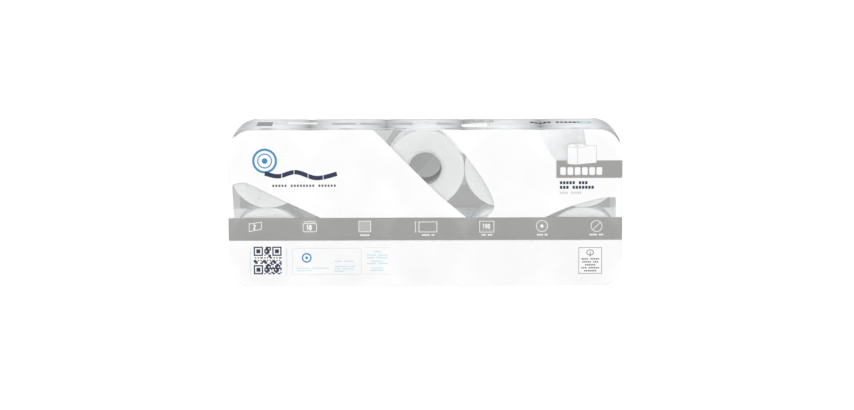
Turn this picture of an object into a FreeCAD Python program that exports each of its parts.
import FreeCAD, Part  # noqa: E401
import math
import os
import Sketcher

# Toilet paper roll pack: ten rolls, five across and two high, in one sealed bag of plastic film.
# Millimetres. X runs along the pack, Y from the front panel to the back panel and Z up. The origin
# is the middle of the base. The rolls lie with their axes along Y, so their ends show through the
# clear parts of the front panel.

DRIVING_SIZES = {
    "rolls_across": 5,
    "roll_diameter": 99.4,
    "roll_width": 95,
    "roll_gap": 0.3,
    "tail_step": 0.4,
    "core_diameter": 44,
    "core_wall": 0.9,
    "core_fit": 0.1,
    "film_wall": 0.4,
    "film_gap": 0.3,
    "face_corner": 29,
    "crown_corner": 35,
    "crown_rise": 6,
    "shoulder_depth": 9,
    "trough_width": 30,
    "trough_depth": 3,
    "flap_margin": 2,
    "flap_overlap": 16,
    "flap_tip": 64,
    "lap_width": 14,
    "lap_height": 62,
}

# Lengths that follow from the driving sizes, as expressions over the sheet
PITCH = "(Sizes.roll_diameter + Sizes.roll_gap)"
SKIN = "(Sizes.film_gap + Sizes.film_wall)"
HALF_LENGTH = f"((Sizes.rolls_across * {PITCH} - Sizes.roll_gap) / 2 + {SKIN})"
HALF_DEPTH = f"(Sizes.roll_width / 2 + {SKIN})"
FACE_HEIGHT = f"({PITCH} + Sizes.roll_diameter + 2 * {SKIN})"
CROWN_HEIGHT = f"({FACE_HEIGHT} + Sizes.crown_rise)"
SHOULDER = f"({HALF_DEPTH} - Sizes.shoulder_depth)"
TROUGH_RADIUS = f"(({SHOULDER} ^ 2 + Sizes.trough_depth ^ 2) / (2 * Sizes.trough_depth))"
FIRST_ROLL = f"(-(Sizes.rolls_across - 1) / 2 * {PITCH})"
TROUGH_SWEEP = 60

doc = FreeCAD.newDocument("RollPack")
sheet = doc.addObject("Spreadsheet::Sheet", "Sizes")
for row, (alias, size) in enumerate(DRIVING_SIZES.items(), start=1):
    sheet.set(f"A{row}", alias)
    sheet.set(f"B{row}", str(size))
    sheet.setAlias(f"B{row}", alias)
doc.recompute()


def value(expression):
    """The number that an expression over the sheet has now."""
    result = sheet.evalExpression(expression)
    return float(getattr(result, "Value", result))


def new_body(name):
    body = doc.addObject("PartDesign::Body", name)
    body.Label = name
    return body


def origin_feature(body, role):
    return next(f for f in body.Origin.OriginFeatures if f.Role == role)


def plane_sketch(body, role, name, right="0", up="0", forward="0"):
    """A sketch on an origin plane, moved along its own two axes and its normal."""
    sketch = body.newObject("Sketcher::SketchObject", name)
    sketch.AttachmentSupport = [(origin_feature(body, role), "")]
    sketch.MapMode = "FlatFace"
    for axis, offset in (("x", right), ("y", up), ("z", forward)):
        sketch.setExpression(f"AttachmentOffset.Base.{axis}", offset)
    return sketch


def bind(sketch, kind, places, name, expression):
    """A named sketch dimension whose length is an expression over the sheet."""
    index = sketch.addConstraint(Sketcher.Constraint(kind, *places, value(expression)))
    sketch.renameConstraint(index, name)
    sketch.setExpression(f"Constraints.{name}", expression)


def draw_outline(sketch, corners):
    """A closed outline of straight lines, each corner placed by two expressions."""
    points = [FreeCAD.Vector(value(x), value(y), 0) for x, y in corners]
    for start, end in zip(points, points[1:] + points[:1]):
        sketch.addGeometry(Part.LineSegment(start, end))
    for edge, (x, y) in enumerate(corners):
        before = (edge - 1) % len(corners)
        sketch.addConstraint(Sketcher.Constraint("Coincident", before, 2, edge, 1))
        bind(sketch, "DistanceX", (-1, 1, edge, 1), f"corner_{edge}_across", x)
        bind(sketch, "DistanceY", (-1, 1, edge, 1), f"corner_{edge}_up", y)


def draw_rounded_rectangle(sketch, half_width, height, lower_radius, upper_radius):
    """A rectangle that stands on the sketch's own horizontal axis, with rounded corners."""
    side, top, low, high = (value(e) for e in (half_width, height, lower_radius, upper_radius))
    walls = [
        ((low - side, 0), (side - low, 0)),
        ((side, low), (side, top - high)),
        ((side - high, top), (high - side, top)),
        ((-side, top - high), (-side, low)),
    ]
    rounds = [
        ((side - low, low), low, -0.5),
        ((side - high, top - high), high, 0),
        ((high - side, top - high), high, 0.5),
        ((low - side, low), low, 1),
    ]
    for (start, end), (centre, radius, turn) in zip(walls, rounds):
        sketch.addGeometry(Part.LineSegment(FreeCAD.Vector(*start, 0), FreeCAD.Vector(*end, 0)))
        circle = Part.Circle(FreeCAD.Vector(*centre, 0), FreeCAD.Vector(0, 0, 1), radius)
        sketch.addGeometry(Part.ArcOfCircle(circle, turn * math.pi, (turn + 0.5) * math.pi))
    base, right, crown, left = 0, 2, 4, 6
    for edge in range(8):
        sketch.addConstraint(Sketcher.Constraint("Tangent", edge, 2, (edge + 1) % 8, 1))
    sketch.addConstraint(Sketcher.Constraint("Horizontal", base))
    sketch.addConstraint(Sketcher.Constraint("Horizontal", crown))
    sketch.addConstraint(Sketcher.Constraint("Vertical", right))
    sketch.addConstraint(Sketcher.Constraint("Vertical", left))
    sketch.addConstraint(Sketcher.Constraint("PointOnObject", base, 1, -1))
    sketch.addConstraint(Sketcher.Constraint("Equal", base + 1, left + 1))
    sketch.addConstraint(Sketcher.Constraint("Equal", right + 1, crown + 1))
    bind(sketch, "DistanceX", (-1, 1, right, 1), "reach_right", half_width)
    bind(sketch, "DistanceX", (left, 1, -1, 1), "reach_left", half_width)
    bind(sketch, "DistanceY", (-1, 1, crown, 1), "height", height)
    bind(sketch, "Radius", (base + 1,), "lower_radius", lower_radius)
    bind(sketch, "Radius", (right + 1,), "upper_radius", upper_radius)


def repeat_along_row(body, feature, sketch, name, count):
    """Copies of a feature, one roll's pitch apart along the row."""
    pattern = body.newObject("PartDesign::LinearPattern", name)
    pattern.Originals = [feature]
    pattern.Direction = (sketch, ["H_Axis"])
    pattern.setExpression("Occurrences", count)
    pattern.setExpression("Length", f"({count} - 1) * {PITCH}")
    body.Tip = pattern


def make_bag_form(name, inset):
    """The bag's form, all of it set in by one distance: 0 for its outside, the wall for its inside.

    The front and back panels are the same rounded rectangle. The top rises from both to a flat
    crown over a shoulder, and dips in a shallow trough over each gap between two rolls.
    """
    body = new_body(name)
    panel = (f"{HALF_DEPTH} - {inset}", f"{FACE_HEIGHT} - 2 * {inset}", "Sizes.face_corner")
    ridge = (SHOULDER, f"{CROWN_HEIGHT} - 2 * {inset}", "Sizes.crown_corner")
    sections = []
    for label, side, (reach, height, corner) in (
        ("front_panel", "", panel),
        ("front_ridge", "", ridge),
        ("back_ridge", "-", ridge),
        ("back_panel", "-", panel),
    ):
        sketch = plane_sketch(
            body, "XZ_Plane", f"{name}_{label}", up=inset, forward=f"{side}({reach})"
        )
        draw_rounded_rectangle(
            sketch,
            f"{HALF_LENGTH} - {inset}",
            height,
            f"Sizes.face_corner - {inset}",
            f"{corner} - {inset}",
        )
        sections.append(sketch)
    loft = body.newObject("PartDesign::AdditiveLoft", f"{name}_loft")
    loft.Profile = sections[0]
    loft.Sections = sections[1:]
    loft.Ruled = True
    body.Tip = loft
    doc.recompute()

    trough = plane_sketch(
        body,
        "XZ_Plane",
        f"{name}_trough_section",
        right=f"{FIRST_ROLL} + {PITCH} / 2",
        up=f"{CROWN_HEIGHT} - {inset} - Sizes.trough_depth + {TROUGH_RADIUS}",
    )
    brim = f"2 * Sizes.trough_depth - {TROUGH_RADIUS}"
    draw_outline(
        trough,
        [("-Sizes.trough_width", brim), ("0", f"-{TROUGH_RADIUS}"), ("Sizes.trough_width", brim)],
    )
    groove = body.newObject("PartDesign::Groove", f"{name}_trough")
    groove.Profile = trough
    groove.ReferenceAxis = (trough, ["H_Axis"])
    groove.Midplane = True
    groove.Angle = TROUGH_SWEEP
    body.Tip = groove
    doc.recompute()
    repeat_along_row(body, groove, trough, f"{name}_troughs", "(Sizes.rolls_across - 1)")
    doc.recompute()
    return body


def fold_end_flaps(body):
    """The envelope fold at each end: a flap from the back panel, and one from the front over it."""
    root_low = "(Sizes.face_corner + Sizes.flap_margin)"
    root_high = f"({CROWN_HEIGHT} - Sizes.crown_corner - Sizes.flap_margin)"
    middle = f"(({root_low} + {root_high}) / 2)"
    flaps = []
    for name, side, plies in (("back_flap", "", 1), ("front_flap", "-", 2)):
        sketch = plane_sketch(body, "YZ_Plane", f"{name}_outline", forward=HALF_LENGTH)
        root = f"{side}({HALF_DEPTH} - Sizes.flap_margin)"
        tip = f"{side}(-Sizes.flap_overlap / 2)"
        draw_outline(
            sketch,
            [
                (root, root_low),
                (tip, f"{middle} - Sizes.flap_tip / 2"),
                (tip, f"{middle} + Sizes.flap_tip / 2"),
                (root, root_high),
            ],
        )
        flap = body.newObject("PartDesign::Pad", name)
        flap.Profile = sketch
        flap.setExpression("Length", f"{plies} * Sizes.film_wall")
        body.Tip = flap
        flaps.append(flap)
        doc.recompute()
    other_end = body.newObject("PartDesign::Mirrored", "other_end_flaps")
    other_end.Originals = flaps
    other_end.MirrorPlane = (origin_feature(body, "YZ_Plane"), [""])
    body.Tip = other_end
    doc.recompute()


def lap_back_seam(body):
    """The lap seam that closes the film's tube, one ply standing proud along the back panel."""
    sketch = plane_sketch(body, "XZ_Plane", "lap_seam_outline", forward=f"-{HALF_DEPTH}")
    reach = f"({HALF_LENGTH} - Sizes.flap_margin)"
    top = "(Sizes.lap_height + Sizes.lap_width)"
    draw_outline(
        sketch,
        [
            (f"-{reach}", "Sizes.lap_height"),
            (reach, "Sizes.lap_height"),
            (reach, top),
            (f"-{reach}", top),
        ],
    )
    seam = body.newObject("PartDesign::Pad", "lap_seam")
    seam.Profile = sketch
    seam.Reversed = True
    seam.setExpression("Length", "Sizes.film_wall")
    body.Tip = seam
    doc.recompute()


def make_film_wrap():
    """One sealed bag of film. Its wall is the one form, less the same form set in by the wall."""
    outside = make_bag_form("film_outside", "0")
    fold_end_flaps(outside)
    lap_back_seam(outside)
    film = doc.addObject("Part::Cut", "film_wrap")
    film.Label = "film_wrap"
    film.Base = outside
    film.Tool = make_bag_form("film_inside", "Sizes.film_wall")
    doc.recompute()
    return film


def set_in_row(body, row_rise):
    """Puts the first roll or core of a row in its place. The row's pattern carries on from it."""
    body.setExpression("Placement.Base.x", FIRST_ROLL)
    body.setExpression("Placement.Base.z", f"{SKIN} + Sizes.roll_diameter / 2 + {row_rise}")


def pad_row(body, sketch, name):
    """Pads a section over the rolls' width, and repeats it along the row."""
    pad = body.newObject("PartDesign::Pad", name)
    pad.Profile = sketch
    pad.Midplane = True
    pad.setExpression("Length", "Sizes.roll_width")
    body.Tip = pad
    doc.recompute()
    repeat_along_row(body, pad, sketch, f"{name}_row", "Sizes.rolls_across")


def make_rolls(name, row_rise):
    """A row of paper rolls. The last sheet's edge is a step in the outline, where the tail ends."""
    body = new_body(name)
    sketch = plane_sketch(body, "XZ_Plane", f"{name}_section")
    radius = value("Sizes.roll_diameter") / 2
    step = value("Sizes.tail_step")
    middle = FreeCAD.Vector(0, 0, 0)
    normal = FreeCAD.Vector(0, 0, 1)
    wound = Part.Circle(middle, normal, radius)
    last_turn = Part.Circle(FreeCAD.Vector(step / 2, 0, 0), normal, radius - step / 2)
    sketch.addGeometry(Part.ArcOfCircle(wound, math.pi, 2 * math.pi))
    sketch.addGeometry(Part.ArcOfCircle(last_turn, 0, math.pi))
    tail_top = FreeCAD.Vector(step - radius, 0, 0)
    sketch.addGeometry(Part.LineSegment(tail_top, FreeCAD.Vector(-radius, 0, 0)))
    sketch.addGeometry(Part.Circle(middle, normal, value("Sizes.core_diameter / 2 + Sizes.core_fit")))
    lower, upper, tail, bore = range(4)
    sketch.addConstraint(Sketcher.Constraint("Coincident", lower, 3, -1, 1))
    sketch.addConstraint(Sketcher.Constraint("Coincident", bore, 3, -1, 1))
    sketch.addConstraint(Sketcher.Constraint("PointOnObject", upper, 3, -1))
    sketch.addConstraint(Sketcher.Constraint("PointOnObject", lower, 2, -1))
    sketch.addConstraint(Sketcher.Constraint("Coincident", lower, 2, upper, 1))
    sketch.addConstraint(Sketcher.Constraint("Coincident", upper, 2, tail, 1))
    sketch.addConstraint(Sketcher.Constraint("Coincident", tail, 2, lower, 1))
    sketch.addConstraint(Sketcher.Constraint("PointOnObject", tail, 1, -1))
    sketch.addConstraint(Sketcher.Constraint("PointOnObject", tail, 2, -1))
    bind(sketch, "Radius", (lower,), "radius", "Sizes.roll_diameter / 2")
    bind(sketch, "DistanceX", (tail, 2, tail, 1), "tail_step", "Sizes.tail_step")
    bind(sketch, "Radius", (bore,), "bore_radius", "Sizes.core_diameter / 2 + Sizes.core_fit")
    pad_row(body, sketch, f"{name}_paper")
    set_in_row(body, row_rise)
    return body


def make_cores(name, row_rise):
    """A row of cardboard tubes, each with the paper wound on it and as wide as its roll."""
    body = new_body(name)
    sketch = plane_sketch(body, "XZ_Plane", f"{name}_section")
    outer = "Sizes.core_diameter / 2"
    for side, radius in (("outer", outer), ("inner", f"{outer} - Sizes.core_wall")):
        circle = Part.Circle(FreeCAD.Vector(0, 0, 0), FreeCAD.Vector(0, 0, 1), value(radius))
        ring = sketch.addGeometry(circle)
        sketch.addConstraint(Sketcher.Constraint("Coincident", ring, 3, -1, 1))
        bind(sketch, "Radius", (ring,), f"{side}_radius", radius)
    pad_row(body, sketch, f"{name}_tube")
    set_in_row(body, row_rise)
    return body


parts = [
    make_film_wrap(),
    make_rolls("rolls_bottom", "0"),
    make_rolls("rolls_top", PITCH),
    make_cores("cores_bottom", "0"),
    make_cores("cores_top", PITCH),
]
doc.recompute()

for item in doc.Objects:
    if {"Invalid", "Error"} & set(item.State):
        raise RuntimeError(f"{item.Name} did not build: {item.State}")
for part in parts:
    if part.Shape.isNull() or not part.Shape.isValid():
        raise RuntimeError(f"{part.Label} is not a valid solid")

os.makedirs("parts", exist_ok=True)
for part in parts:
    part.Shape.exportStep(f"parts/{part.Label}.step")
    box = part.Shape.BoundBox
    print(
        f"{part.Label}: {len(part.Shape.Solids)} solids, {part.Shape.Volume / 1000:.1f} cm3,"
        f" X {box.XMin:.2f} to {box.XMax:.2f}, Y {box.YMin:.2f} to {box.YMax:.2f},"
        f" Z {box.ZMin:.2f} to {box.ZMax:.2f}"
    )
